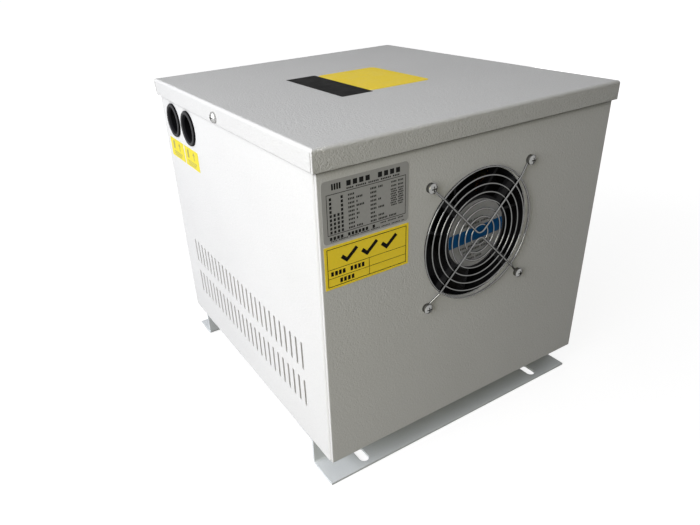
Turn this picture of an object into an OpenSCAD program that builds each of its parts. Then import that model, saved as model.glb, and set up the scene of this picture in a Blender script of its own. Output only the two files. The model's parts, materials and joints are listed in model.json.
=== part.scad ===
// Fan-cooled three-phase dry-type transformer in a sheet steel enclosure on two foot rails.
// Origin: floor level, in the middle of the four foot slots. +X faces the fan, +Z is up.

/* [Enclosure] */
// Depth of the body from the rear panel's face to the fan panel's face
body_l = 325; // [305:5:420]
// Width of the body over the two slotted sides
body_w = 300; // [285:5:400]
// Height of the panels from the base to the underside of the cover
body_h = 272; // [250:2:340]
// Thickness of the sheet steel
sheet_t = 2; // [1:0.5:2.5]
// Inside radius of the sheet bends
bend_r = 1; // [0.5:0.5:2]
// Width of the side panels' inward flanges
flange_w = 15; // [12:1:20]
// Height of the base tray's upstands
upstand_h = 14; // [8:1:20]
// How far the end panels' edges stay inside the side faces
end_inset = 0.8; // [0.2:0.1:1.5]
// Radius on the end panels' outer edges
edge_r = 0.8; // [0.2:0.1:1]

/* [Cover] */
// Height of the cover's rim, measured from the top
rim_h = 16; // [12:1:24]
// Gap between the cover's rim and the panels
cover_gap = 0.5; // [0.2:0.1:1.5]
// Distance of the cover screws below the top
cover_screw_drop = 10; // [8:0.5:11]
// Width of the seam in the cover's corners
seam_w = 0.7; // [0.4:0.1:1.2]

/* [Ventilation slots] */
// Slots in each row
vent_count = 26; // [10:1:28]
// Distance of the first and last slots from the end faces
vent_margin = 39.5; // [25:0.5:80]
// Length of a slot
vent_l = 28.4; // [15:0.1:34]
// Width of a slot
vent_w = 2.8; // [1.5:0.1:4]
// Height of the lower row's middle above the base
vent_h = 48.9; // [35:0.1:70]
// Distance from the lower row to the upper row
vent_row_pitch = 39.6; // [36:0.1:60]

/* [Cable entries] */
// Diameter of the panel hole that a grommet sits in
grommet_hole_d = 29; // [20:0.5:32]
// Wall of a grommet inside the panel hole
grommet_wall = 2.5; // [1.5:0.5:4]
// How far a grommet's lip covers the panel round the hole
grommet_lip_w = 2.5; // [2:0.5:4]
// How far a grommet's lip stands proud of the panel
grommet_lip_t = 2.5; // [1.5:0.1:4]
// How far a grommet reaches inside the panel
grommet_back_t = 4; // [2:0.5:8]
// Distance from grommet to grommet
grommet_pitch = 43; // [40:1:60]
// Distance of the rear grommet from the rear panel's face
grommet_setback = 38.5; // [36:0.5:60]
// Distance of the grommets below the panels' top edge
grommet_drop = 34.5; // [33:0.5:50]

/* [Foot rails] */
// Height of the foot rails
rail_h = 30; // [26:1:60]
// Thickness of the rail steel
rail_t = 2; // [1.5:0.5:4]
// Inside radius of the rail bends
rail_bend_r = 2; // [1:0.5:4]
// Width of the foot flange outside the web
rail_foot_w = 30; // [28:1:40]
// Width of the top flange, over the web
rail_top_w = 30; // [26:1:40]
// How far the rail ends stay inside the side faces
rail_inset = 0.5; // [0:0.5:5]
// Distance of the foot slots inside the end faces
slot_inset = 17.5; // [12:0.5:30]
// Distance of the foot slots inside the side faces
slot_end = 41; // [15:1:80]
// Length of a foot slot
slot_l = 18; // [10:1:20]
// Width of a foot slot
slot_w = 9; // [5:0.5:10]
// Distance of the foot slots from the rail's web
slot_off = 16; // [14:0.5:18]
// Distance of the bolts that hold a rail from the side faces
rail_bolt_end = 50; // [30:1:90]

/* [Fan] */
// Height of the fan's axis above the base
fan_h = 172.5; // [120:0.5:185]
// Side of the square fan frame
fan_size = 120; // [110:1:130]
// Depth of the fan frame
fan_depth = 38; // [34:1:45]
// Distance of the fan's fixing screws from the frame's sides
fan_hole_inset = 7.6; // [6:0.1:9]
// Wall of the fan's duct at the middle of a side
fan_wall = 2; // [1.5:0.5:4]
// Thickness of the fan frame's flanges
fan_flange_t = 5; // [3:0.5:8]
// Diameter of the cut-out in the fan panel
cutout_d = 112; // [100:1:114]
// Diameter of the motor base that the struts carry
motor_d = 64; // [60:1:70]
// Thickness of the motor base and its struts
strut_t = 4; // [3:0.5:6]
// Width of a strut
strut_w = 7; // [4:0.5:10]
// Diameter of the impeller's hub
hub_d = 62; // [58:1:64]
// Wall of the impeller's hub
hub_wall = 2.5; // [2:0.5:3]
// Number of blades
blade_count = 7; // [5:1:9]
// Thickness of a blade
blade_t = 2.2; // [1.5:0.1:3]
// Pitch of the blades from the plane of rotation
blade_pitch = 42; // [30:1:50]
// Camber radius of the blades
blade_r = 38; // [30:1:60]
// Gap between the blade tips and the duct
tip_gap = 1; // [0.5:0.1:2]
// Diameter of the fan's shaft
shaft_d = 4; // [3:0.5:5]
// Radial running clearance of the shaft in its bearings
shaft_clear = 0.03; // [0.01:0.01:0.1]
// Outer diameter of the bearings
bearing_d = 9; // [8:0.5:11]
// Width of a bearing
bearing_w = 4; // [3:0.5:5]

/* [Fan guard] */
// Number of rings
ring_count = 8; // [5:1:10]
// Diameter of the largest ring, to the middle of the wire
guard_d = 114; // [112:1:122]
// Diameter of the smallest ring, to the middle of the wire
guard_in_d = 18; // [12:1:30]
// Diameter of the wire
wire_d = 1.6; // [1.2:0.1:2.4]
// Height of the rings' middle above the panel
guard_h = 2.4; // [2:0.1:8]
// Bend radius of the two V-shaped wires at the middle
guard_bend_r = 6; // [4:0.5:12]

/* [Core] */
// Width of a limb and height of a yoke
limb_w = 46; // [36:1:50]
// Thickness of the lamination stack
stack_t = 70; // [50:1:80]
// Gap between neighbouring coils
phase_gap = 6; // [3:0.5:12]
// Room between the fan's lead and the cover
head_room = 7.4; // [2:0.2:30]
// Height of the core above the base plate
core_lift = 6; // [4:1:10]
// Position of the core along the depth
core_x = 8; // [0:1:14]
// Thickness of the core clamps
clamp_t = 3; // [2:0.5:3.5]
// Height of a core clamp's upright leg on the yoke
clamp_h = 40; // [34:1:42]
// Width of the lower clamps' feet
clamp_foot_w = 30; // [26:1:36]
// Width of the upper clamps' top legs
clamp_top_w = 28; // [24:1:32]

/* [Windings] */
// Clearance of a coil former round its limb
former_gap = 0.5; // [0.2:0.1:1]
// Wall of a coil former
former_t = 2; // [1:0.5:2.5]
// Thickness of the insulation between the windings
barrier_t = 1.5; // [0.5:0.5:2]
// Room between the outer coils and the side panels
side_room = 10; // [6:0.5:25]
// Clearance of a coil former under the upper yoke
former_end_gap = 1; // [0.2:0.1:3]

/* [Terminals] */
// Thickness of the terminal boards
board_t = 6; // [4:0.5:8]
// Height of the spacers under the terminal boards
spacer_h = 12; // [10:0.5:14]
// Diameter of the terminal studs
stud_d = 6; // [5:0.5:6]
// Length of a stud above its board
stud_up = 14; // [10:0.5:16]
// Diameter of the winding leads
lead_d = 2.5; // [1.5:0.1:2.6]
// Sideways distance of a winding's leads from the middle of its limb
lead_off = 12; // [8:1:16]
// Height of a star bar
star_bar_h = 4; // [3:0.5:6]
// Diameter of the fan's supply lead
fan_lead_d = 3.6; // [2.5:0.1:4.5]

/* [Hidden] */
$fn = 48;
eps = 0.5;

// Colours
paint = "gainsboro";
plated = "silver";
black = "#1c1c1e";
rubber = "#2a2a2c";
copper = "#b5703c";
lamination = "#6f747a";
former_colour = "#d9cfae";
board_colour = "#7a5230";
brass = "#c9a75a";

// Thread and head sizes: [thread, head across, head height, nut across flats, nut height]
m4 = [4, 8, 3, 7, 3.2];
m5 = [5, 9.5, 3.6, 8, 4];
m6 = [6, 10, 4, 10, 5];
m8 = [8, 13, 5.3, 13, 6.5];
hole_clear = 0.3;
thread_past = 2;
recess_w = 1.1;
recess_share = 0.55;

// Enclosure
bend_out = sheet_t + bend_r;
base_z = rail_h;
floor_z = base_z + sheet_t;
top_z = base_z + body_h;
end_x = body_l / 2 - sheet_t;
side_y = body_w / 2;
inner_y = side_y - sheet_t;
cover_l = body_l + 2 * (cover_gap + sheet_t);
cover_w = body_w + 2 * (cover_gap + sheet_t);
cover_top_z = top_z + sheet_t;
cover_screw_z = cover_top_z - cover_screw_drop;
cover_fold_r = min(bend_r, cover_gap);
cover_fold_out = sheet_t + cover_fold_r;
fit_gap = 0.5;

// Ventilation slots
vent_pitch = (body_l - 2 * vent_margin) / (vent_count - 1);

// Foot rails
slot_span_x = body_l - 2 * slot_inset;
slot_span_y = body_w - 2 * slot_end;
rail_bolt_span = body_w - 2 * rail_bolt_end;
rail_web_x = slot_span_x / 2 - slot_off;
rail_bend_out = rail_t + rail_bend_r;
rail_bolt_x = rail_web_x - rail_t - (rail_top_w - rail_t) / 2;

// Cable entries
grommet_z = top_z - grommet_drop;
grommet_rear_x = grommet_setback - body_l / 2;
grommet_front_x = grommet_rear_x + grommet_pitch;
grommet_edge = 1;

// Fan, drawn with its axis along Z and the back of the fan panel at Z = 0
fan_z = base_z + fan_h;
fan_hole_pitch = fan_size - 2 * fan_hole_inset;
fan_bore_d = fan_size - 2 * fan_wall;
fan_corner_r = 5;
motor_gap = 2;
hub_floor = 3;
hub_front = -strut_t - motor_gap;
hub_rear = -fan_depth + motor_gap;
tube_wall = 2;
tube_d = bearing_d + 2 * tube_wall;
boss_h = 3;
boss_d = shaft_d + 6;
blade_inset = 1;
tube_rear = hub_rear + hub_floor + boss_h + motor_gap;
ring_gap = 1;
rotor_ring_t = 5;
rotor_ring_d = hub_d - 2 * hub_wall;
stator_d = rotor_ring_d - 2 * rotor_ring_t - 2 * ring_gap;
stator_slots = 8;
stator_slot_w = 2;
clip_gap = 0.4;
clip_t = 1;
plug_w = 14;
plug_l = 10;
plug_x = 45;
plug_z = -fan_depth / 2;

// Fan guard
ring_z = sheet_t + guard_h;
ring_wire_d = 0.8 * wire_d;
leg_z = ring_z + 0.35 * (wire_d + ring_wire_d);
eye_h = 1.25 * wire_d;
eye_z = sheet_t + eye_h / 2;
eye_r = fan_hole_pitch / sqrt(2);
eye_in_d = m4[0] + 2 * hole_clear;
eye_out_d = eye_in_d + 2 * wire_d;
leg_over_r = guard_d / 2 + wire_d;
leg_foot_r = eye_r - eye_out_d / 2 - wire_d;
bent_d = 0.95 * wire_d;
bend_past = 2;
ring_pitch = (guard_d - guard_in_d) / 2 / (ring_count - 1);

// Coil layers, as distances outside the coil former's opening: three coils fill the width
former_in_y = limb_w + 2 * former_gap;
former_in_x = stack_t + 2 * former_gap;
coil_w = (2 * (inner_y - side_room) - 2 * phase_gap) / 3;
coil_out = (coil_w - former_in_y) / 2;
winding_t = (coil_out - former_t - barrier_t) / 2;
secondary_in = former_t;
barrier_in = secondary_in + winding_t;
primary_in = barrier_in + barrier_t;

// Heights, from the cover down to the fan's lead, terminals and clamps, then from the floor up
fan_lead_bend_r = 8;
stud_top_z = top_z - head_room - fan_lead_d - fan_lead_bend_r;
board_top_z = stud_top_z - stud_up;
board_z = board_top_z - board_t;
clamp_top_z = board_z - spacer_h;
core_top_z = clamp_top_z - clamp_t;
yoke_z = core_top_z - limb_w;
core_z = floor_z + core_lift;
window_z = core_z + limb_w;
former_z = window_z;
former_h = yoke_z - window_z - former_end_gap;
winding_z = former_z + former_t;
winding_h = former_h - 2 * former_t;
winding_top = winding_z + winding_h;

// Core plan
limb_pitch = coil_w + phase_gap;
core_w = 2 * limb_pitch + limb_w;
clamp_x = stack_t / 2;
yoke_bolt_z = [core_z + limb_w / 2, core_top_z - limb_w / 2];
core_bolt_x = clamp_x + clamp_t + (clamp_foot_w - clamp_t) / 2;
core_bolt_inset = 20;
core_bolt_y = core_w / 2 - core_bolt_inset;

// Terminals: side is +1 for the secondary at the front and -1 for the primary at the rear
lead_inset = lead_d;
lead_edge = 0.8;
bar_gap = 0.5;
function strip_in(side) = clamp_x + former_gap + (side > 0 ? secondary_in : primary_in);
function strip_out(side) = clamp_x + former_gap + (side > 0 ? barrier_in : coil_out);
function start_x(side) = side * (strip_in(side) + lead_inset);
function finish_x(side) = side * (strip_out(side) - lead_edge - lead_d / 2);
function clear_x(side) = abs(start_x(side)) + lead_d / 2 + bar_gap + star_bar_w / 2;
function bar_x(side) = side * max(abs(finish_x(side)), clear_x(side));
phase_y = [-limb_pitch, 0, limb_pitch];
neutral_y = plug_x;
board_margin = 10;
board_setback = 2;
board_w = core_w - 2 * board_setback;
board_screw_x = clamp_x + clamp_t - clamp_top_w / 2;
board_screw_y = 0.7 * limb_pitch;
board_in_x = board_screw_x - clamp_top_w / 2 + board_setback;
stud_down = 8;
star_bar_gap = 3;
star_bar_z = former_z + former_h + star_bar_gap;
star_bar_w = 4;

// Earth stud on the base, clear of the rail nuts
earth_setback = 30;
earth_off = 60;
earth_pos = [earth_setback - end_x, earth_off - rail_bolt_span / 2];
earth_collar_d = 12;
earth_collar_h = 3;
earth_stud_h = 22;

// Shared shapes

// Round bar between two points
module rod(from, to, d) {
    v = to - from;
    len = norm(v);
    translate(from)
        rotate([0, acos(v[2] / len), atan2(v[1], v[0])])
            cylinder(h = len, d = d);
}

// Rectangle with round corners, sharp when r is 0
module round_rect(w, h, r) {
    if (r == 0) {
        square([w, h], center = true);
    } else {
        square([w - 2 * r, h], center = true);
        square([w, h - 2 * r], center = true);
        for (sx = [-1, 1], sy = [-1, 1])
            translate([sx * (w / 2 - r), sy * (h / 2 - r)])
                circle(r);
    }
}

// Round-ended slot along X
module slot_2d(len, w) {
    square([len - w, w], center = true);
    for (s = [-1, 1])
        translate([s * (len - w) / 2, 0])
            circle(d = w);
}

// Solid outline of a bent channel: web at y = 0, round corners at both ends of the web
module channel_outline(len, depth, r) {
    translate([-len / 2, r])
        square([len, depth - r]);
    translate([r - len / 2, 0])
        square([len - 2 * r, depth]);
    for (s = [-1, 1])
        translate([s * (len / 2 - r), r])
            circle(r);
}

// Bent sheet channel with its flanges towards +Y
module channel_2d(len, flange) {
    difference() {
        channel_outline(len, flange, bend_out);
        translate([0, sheet_t])
            channel_outline(len - 2 * sheet_t, flange, bend_r);
    }
}

// Quarter ring of a bend, in the lower left quadrant
module bend_2d(r_in, t) {
    intersection() {
        difference() {
            circle(r_in + t);
            circle(r_in);
        }
        translate([-r_in - t, -r_in - t])
            square(r_in + t);
    }
}

// Screw with a domed, cross-recessed head above z = 0
module pan_screw(size, len) {
    head_d = size[1];
    head_h = size[2];
    dome_r = 0.75 * head_d;
    difference() {
        union() {
            intersection() {
                cylinder(h = head_h, d = head_d);
                translate([0, 0, head_h - dome_r])
                    sphere(dome_r);
            }
            translate([0, 0, -len])
                cylinder(h = len + head_h / 2, d = size[0]);
        }
        for (a = [0, 90])
            rotate([0, 0, a])
                translate([-recess_share * head_d / 2, -recess_w / 2, 0.45 * head_h])
                    cube([recess_share * head_d, recess_w, head_h]);
    }
}

// Hexagon bolt with its head above z = 0
module hex_bolt(size, len) {
    cylinder(h = size[2], d = size[1] / cos(30), $fn = 6);
    translate([0, 0, -len])
        cylinder(h = len + size[2] / 2, d = size[0]);
}

module hex_nut(size) {
    difference() {
        cylinder(h = size[4], d = size[3] / cos(30), $fn = 6);
        translate([0, 0, -eps])
            cylinder(h = size[4] + 2 * eps, d = size[0]);
    }
}

// Places on the object

module at_left_face(x, z, out = 0) {
    translate([x, -side_y - out, z])
        rotate([90, 0, 0])
            children();
}

module at_fan() {
    translate([end_x, 0, fan_z])
        rotate([90, 0, 90])
            children();
}

module at_fan_holes() {
    for (sx = [-1, 1], sy = [-1, 1])
        translate([sx, sy] * fan_hole_pitch / 2)
            children();
}

module both_sides() {
    for (s = [0, 1])
        mirror([0, s, 0])
            children();
}

module at_rail_bolts() {
    for (sx = [-1, 1], sy = [-1, 1])
        translate([sx * rail_bolt_x, sy * rail_bolt_span / 2, 0])
            children();
}

module at_core_bolts() {
    for (sx = [-1, 1], sy = [-1, 1])
        translate([core_x + sx * core_bolt_x, sy * core_bolt_y, 0])
            children();
}

module at_yoke_bolts(x) {
    for (y = [-limb_pitch, limb_pitch], z = yoke_bolt_z)
        translate([core_x + x, y, z])
            rotate([0, 90, 0])
                children();
}

module at_board_screws() {
    for (sx = [-1, 1], sy = [-1, 1])
        translate([core_x + sx * board_screw_x, sy * board_screw_y, 0])
            children();
}

module at_studs(side) {
    for (y = phase_y)
        translate([core_x + start_x(side), y - lead_off, 0])
            children();
    translate([core_x + bar_x(side), neutral_y, 0])
        children();
}

// Enclosure

module base_plate() {
    color(paint)
        difference() {
            union() {
                translate([0, 0, base_z])
                    rotate([90, 0, 0])
                        linear_extrude(body_w - 2 * flange_w - 2 * fit_gap, center = true)
                            channel_2d(2 * end_x, upstand_h);
                translate([0, 0, base_z])
                    rotate([90, 0, 90])
                        linear_extrude(2 * (end_x - bend_out - fit_gap), center = true)
                            channel_2d(2 * inner_y, upstand_h);
            }
            translate([0, 0, base_z - eps]) {
                at_rail_bolts()
                    cylinder(h = sheet_t + 2 * eps, d = m6[0] + 2 * hole_clear);
                at_core_bolts()
                    cylinder(h = sheet_t + 2 * eps, d = m8[0] + 2 * hole_clear);
            }
        }
}

module side_sheet() {
    difference() {
        translate([0, -side_y, base_z])
            linear_extrude(body_h)
                channel_2d(2 * end_x, flange_w);
        at_left_face(0, base_z + vent_h, -sheet_t - eps)
            linear_extrude(sheet_t + 2 * eps)
                for (row = [0, 1], i = [0 : vent_count - 1])
                    translate([(i - (vent_count - 1) / 2) * vent_pitch, row * vent_row_pitch])
                        rotate(90)
                            slot_2d(vent_l, vent_w);
        at_left_face(0, cover_screw_z, -sheet_t - eps)
            cylinder(h = sheet_t + 2 * eps, d = m5[0] + 2 * hole_clear);
    }
}

module left_panel() {
    color(paint)
        difference() {
            side_sheet();
            for (x = [grommet_rear_x, grommet_front_x])
                at_left_face(x, grommet_z, -sheet_t - eps)
                    cylinder(h = sheet_t + 2 * eps, d = grommet_hole_d);
        }
}

module right_panel() {
    color(paint)
        mirror([0, 1, 0])
            side_sheet();
}

// End panel with rounded outer edges, in front of the side panels' flanges
module end_sheet() {
    w = body_w - 2 * end_inset;
    translate([end_x, 0, base_z])
        linear_extrude(body_h) {
            translate([0, -w / 2])
                square([sheet_t - edge_r, w]);
            translate([0, edge_r - w / 2])
                square([sheet_t, w - 2 * edge_r]);
            for (s = [-1, 1])
                translate([sheet_t - edge_r, s * (w / 2 - edge_r)])
                    circle(edge_r);
        }
}

module front_panel() {
    color(paint)
        difference() {
            end_sheet();
            at_fan()
                translate([0, 0, -eps]) {
                    cylinder(h = sheet_t + 2 * eps, d = cutout_d);
                    at_fan_holes()
                        cylinder(h = sheet_t + 2 * eps, d = m4[0] + 2 * hole_clear);
                }
        }
}

module rear_panel() {
    color(paint)
        mirror([1, 0, 0])
            end_sheet();
}

// Solid block with its four top edges rounded, its top at z = 0
module cover_block(l, w, h, r) {
    intersection() {
        rotate([-90, 0, 0])
            linear_extrude(w, center = true)
                channel_outline(l, h, r);
        rotate([-90, 0, 90])
            linear_extrude(l, center = true)
                channel_outline(w, h, r);
    }
}

module top_cover() {
    color(paint)
        difference() {
            translate([0, 0, cover_top_z])
                cover_block(cover_l, cover_w, rim_h, cover_fold_out);
            translate([0, 0, top_z])
                cover_block(cover_l - 2 * sheet_t, cover_w - 2 * sheet_t, rim_h, cover_fold_r);
            both_sides()
                translate([0, -cover_w / 2 + sheet_t + eps, cover_screw_z])
                    rotate([90, 0, 0])
                        cylinder(h = sheet_t + 2 * eps, d = m5[0] + 2 * hole_clear);
            for (sx = [-1, 1], sy = [-1, 1])
                translate([sx * (cover_l / 2 - sheet_t - seam_w / 2), sy * cover_w / 2,
                           cover_top_z - cover_fold_out - rim_h])
                    linear_extrude(rim_h)
                        square([seam_w, sheet_t], center = true);
        }
}

module cover_screws() {
    color(plated)
        both_sides()
            translate([0, -cover_w / 2, cover_screw_z])
                rotate([90, 0, 0])
                    pan_screw(m5, 2 * sheet_t + cover_gap + m5[4] + thread_past);
}

module cover_nuts() {
    color(plated)
        both_sides()
            translate([0, -inner_y, cover_screw_z])
                rotate([-90, 0, 0])
                    hex_nut(m5);
}

// Z-section rail: foot flange outwards, top flange inwards under the base
module rail_profile() {
    translate([rail_bend_r, 0])
        square([rail_foot_w - rail_bend_r, rail_t]);
    translate([rail_bend_r, rail_bend_out])
        bend_2d(rail_bend_r, rail_t);
    translate([-rail_t, rail_bend_out])
        square([rail_t, rail_h - 2 * rail_bend_out]);
    translate([-rail_t - rail_bend_r, rail_h - rail_bend_out])
        rotate(180)
            bend_2d(rail_bend_r, rail_t);
    translate([-rail_top_w, rail_h - rail_t])
        square([rail_top_w - rail_t - rail_bend_r, rail_t]);
}

module foot_rail() {
    difference() {
        translate([rail_web_x, 0, 0])
            rotate([90, 0, 0])
                linear_extrude(body_w - 2 * rail_inset, center = true)
                    rail_profile();
        for (s = [-1, 1])
            translate([slot_span_x / 2, s * slot_span_y / 2, -eps])
                linear_extrude(rail_t + 2 * eps)
                    slot_2d(slot_l, slot_w);
        translate([0, 0, rail_h - rail_t - eps])
            at_rail_bolts()
                cylinder(h = rail_t + 2 * eps, d = m6[0] + 2 * hole_clear);
    }
}

module foot_rail_front() {
    color(paint)
        foot_rail();
}

module foot_rail_rear() {
    color(paint)
        mirror([1, 0, 0])
            foot_rail();
}

module rail_bolts() {
    color(plated)
        translate([0, 0, rail_h - rail_t])
            at_rail_bolts()
                mirror([0, 0, 1])
                    hex_bolt(m6, rail_t + sheet_t + m6[4] + thread_past);
}

module rail_nuts() {
    color(plated)
        translate([0, 0, floor_z])
            at_rail_bolts()
                hex_nut(m6);
}

// Rubber ring with a groove for the panel and a funnelled mouth
module grommet(x) {
    hole_r = grommet_hole_d / 2;
    lip_r = hole_r + grommet_lip_w;
    bore_r = hole_r - grommet_wall;
    back_z = -sheet_t - grommet_back_t;
    color(rubber)
        at_left_face(x, grommet_z)
            rotate_extrude()
                polygon([
                    [bore_r, back_z],
                    [lip_r - 2 * grommet_edge, back_z],
                    [lip_r - grommet_edge, -sheet_t - grommet_edge],
                    [lip_r - grommet_edge, -sheet_t],
                    [hole_r, -sheet_t],
                    [hole_r, 0],
                    [lip_r, 0],
                    [lip_r, grommet_lip_t - grommet_edge],
                    [lip_r - grommet_edge, grommet_lip_t],
                    [hole_r, grommet_lip_t],
                    [bore_r, 0]
                ]);
}

module grommet_rear() { grommet(grommet_rear_x); }
module grommet_front() { grommet(grommet_front_x); }

module earth_stud() {
    color(brass)
        translate([earth_pos[0], earth_pos[1], floor_z]) {
            cylinder(h = earth_collar_h, d = earth_collar_d);
            cylinder(h = earth_stud_h, d = m6[0]);
        }
}

module earth_nut() {
    color(brass)
        translate([earth_pos[0], earth_pos[1], floor_z + earth_collar_h])
            hex_nut(m6);
}

// Fan

module fan_flange(z) {
    translate([0, 0, z])
        linear_extrude(fan_flange_t)
            difference() {
                round_rect(fan_size, fan_size, fan_corner_r);
                at_fan_holes()
                    circle(d = m4[0] + 2 * hole_clear);
            }
}

module fan_frame() {
    color(black)
        at_fan() {
            difference() {
                union() {
                    fan_flange(-fan_flange_t);
                    fan_flange(-fan_depth);
                    translate([0, 0, -fan_depth])
                        cylinder(h = fan_depth, d = fan_size);
                    translate([plug_x - plug_w / 2, 0, plug_z - plug_l / 2])
                        cube([plug_w, fan_size / 2, plug_l]);
                }
                translate([0, 0, -fan_depth - eps])
                    cylinder(h = fan_depth + 2 * eps, d = fan_bore_d);
            }
            translate([0, 0, -strut_t]) {
                cylinder(h = strut_t, d = motor_d);
                for (a = [45 : 90 : 315])
                    rotate(a)
                        translate([motor_d / 2 - eps, -strut_w / 2, 0])
                            cube([(fan_bore_d - motor_d) / 2 + 2 * eps, strut_w, strut_t]);
            }
            difference() {
                translate([0, 0, tube_rear])
                    cylinder(h = -strut_t - tube_rear + eps, d = tube_d);
                translate([0, 0, tube_rear - eps])
                    cylinder(h = -strut_t - tube_rear + eps, d = bearing_d);
            }
        }
}

module fan_stator() {
    core_front = hub_front - motor_gap;
    core_rear = tube_rear + motor_gap;
    color(lamination)
        at_fan()
            translate([0, 0, core_rear])
                difference() {
                    cylinder(h = core_front - core_rear, d = stator_d);
                    translate([0, 0, -eps])
                        cylinder(h = core_front - core_rear + 2 * eps, d = tube_d);
                    for (i = [0 : stator_slots - 1])
                        rotate(i * 360 / stator_slots)
                            translate([(stator_d + tube_d) / 4, -stator_slot_w / 2, -eps])
                                cube([stator_d / 2, stator_slot_w, core_front - core_rear + 2 * eps]);
                }
}

module fan_bearings() {
    color(plated)
        at_fan()
            for (z = [-strut_t - bearing_w, tube_rear])
                translate([0, 0, z])
                    difference() {
                        cylinder(h = bearing_w, d = bearing_d);
                        translate([0, 0, -eps])
                            cylinder(h = bearing_w + 2 * eps, d = shaft_d + 2 * shaft_clear);
                    }
}

module fan_shaft() {
    front = -strut_t - motor_gap / 4;
    clip_d = (shaft_d + bearing_d) / 2;
    color(plated)
        at_fan() {
            translate([0, 0, hub_rear])
                cylinder(h = front - hub_rear, d = shaft_d);
            translate([0, 0, -strut_t - bearing_w - clip_gap - clip_t])
                cylinder(h = clip_t, d = clip_d);
        }
}

module fan_rotor_ring() {
    ring_front = hub_front - ring_gap;
    ring_rear = hub_rear + hub_floor;
    color(lamination)
        at_fan()
            translate([0, 0, ring_rear])
                difference() {
                    cylinder(h = ring_front - ring_rear, d = rotor_ring_d);
                    translate([0, 0, -eps])
                        cylinder(h = ring_front - ring_rear + 2 * eps, d = rotor_ring_d - 2 * rotor_ring_t);
                }
}

// Blade along +X: a strip of a tube, so that it is cambered, cut to the hub and the tips
module fan_blade() {
    middle_z = (hub_front + hub_rear) / 2;
    blade_l = hub_front - hub_rear - 2 * blade_inset;
    chord = 2 * blade_l;
    depth = blade_r;
    intersection() {
        translate([0, 0, hub_rear + blade_inset])
            difference() {
                cylinder(h = blade_l, d = fan_bore_d - 2 * tip_gap);
                translate([0, 0, -eps])
                    cylinder(h = blade_l + 2 * eps, d = hub_d - hub_wall);
            }
        translate([0, 0, middle_z])
            rotate([blade_pitch, 0, 0])
                intersection() {
                    translate([0, -chord / 2, -depth / 2])
                        cube([fan_bore_d / 2, chord, depth]);
                    translate([0, 0, blade_r])
                        rotate([0, 90, 0])
                            difference() {
                                cylinder(h = fan_bore_d / 2, r = blade_r + blade_t / 2);
                                translate([0, 0, -eps])
                                    cylinder(h = fan_bore_d, r = blade_r - blade_t / 2);
                            }
                }
    }
}

module fan_impeller() {
    hub_l = hub_front - hub_rear;
    color(black)
        at_fan() {
            translate([0, 0, hub_rear])
                difference() {
                    union() {
                        difference() {
                            cylinder(h = hub_l, d = hub_d);
                            translate([0, 0, hub_floor])
                                cylinder(h = hub_l, d = hub_d - 2 * hub_wall);
                        }
                        cylinder(h = hub_floor + boss_h, d = boss_d);
                    }
                    translate([0, 0, -eps])
                        cylinder(h = hub_floor + boss_h + 2 * eps, d = shaft_d);
                }
            for (i = [0 : blade_count - 1])
                rotate(i * 360 / blade_count)
                    fan_blade();
        }
}

// Wire bend in the XZ plane, turning from one angle to another round its centre
module wire_bend(centre, r, from, turn, d) {
    translate(centre)
        rotate([90, 0, 0])
            rotate(from)
                rotate_extrude(angle = turn)
                    translate([r, 0])
                        circle(d = d);
}

// One leg of the guard along +X: over the rings, down to the panel and out to the eye
module guard_leg() {
    rod([guard_bend_r, 0, leg_z], [leg_over_r, 0, leg_z], wire_d);
    rod([leg_over_r, 0, leg_z], [leg_foot_r, 0, eye_z], bent_d);
    rod([leg_foot_r, 0, eye_z], [eye_r - eye_out_d / 2 + wire_d / 2, 0, eye_z], wire_d);
    translate([eye_r, 0, sheet_t])
        difference() {
            cylinder(h = eye_h, d = eye_out_d);
            translate([0, 0, -eps])
                cylinder(h = eye_h + 2 * eps, d = eye_in_d);
        }
}

// V-shaped wire above the middle: two legs and the bend that joins them
module guard_vee() {
    for (a = [45, 135])
        rotate(a)
            guard_leg();
    translate([0, guard_bend_r * sqrt(2), leg_z])
        rotate(225 - bend_past)
            rotate_extrude(angle = 90 + 2 * bend_past)
                translate([guard_bend_r, 0])
                    circle(d = bent_d);
}

module guard_rings() {
    color(plated)
        at_fan()
            for (i = [0 : ring_count - 1])
                translate([0, 0, ring_z])
                    rotate_extrude()
                        translate([guard_in_d / 2 + i * ring_pitch, 0])
                            circle(d = ring_wire_d);
}

// Two V-shaped wires, welded over the rings
module guard_wires() {
    color(plated)
        at_fan()
            for (a = [0, 180])
                rotate(a)
                    guard_vee();
}

module fan_screws() {
    color(plated)
        at_fan()
            translate([0, 0, sheet_t + eye_h])
                at_fan_holes()
                    pan_screw(m4, sheet_t + eye_h + fan_flange_t + m4[4] + thread_past);
}

module fan_nuts() {
    color(plated)
        at_fan()
            translate([0, 0, -fan_flange_t - m4[4]])
                at_fan_holes()
                    hex_nut(m4);
}

// Two-core lead from the fan's plug to the secondary's neutral stud, in one plane
module fan_lead() {
    plug_at = end_x + plug_z;
    stud_at = core_x + bar_x(1);
    run_z = stud_top_z + fan_lead_bend_r + fan_lead_d / 2;
    bend_z = run_z - fan_lead_bend_r;
    color(black)
        translate([0, plug_x, 0]) {
            rod([plug_at, 0, fan_z + fan_size / 2], [plug_at, 0, bend_z], fan_lead_d);
            wire_bend([plug_at - fan_lead_bend_r, 0, bend_z], fan_lead_bend_r, 0, 90, fan_lead_d);
            rod([plug_at - fan_lead_bend_r, 0, run_z], [stud_at + fan_lead_bend_r, 0, run_z], fan_lead_d);
            wire_bend([stud_at + fan_lead_bend_r, 0, bend_z], fan_lead_bend_r, 90, 90, fan_lead_d);
            rod([stud_at, 0, bend_z], [stud_at, 0, stud_top_z], fan_lead_d);
        }
}

// Core

module yoke_bolt_holes() {
    at_yoke_bolts(-stack_t)
        cylinder(h = 2 * stack_t, d = m8[0] + 2 * hole_clear);
}

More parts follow.
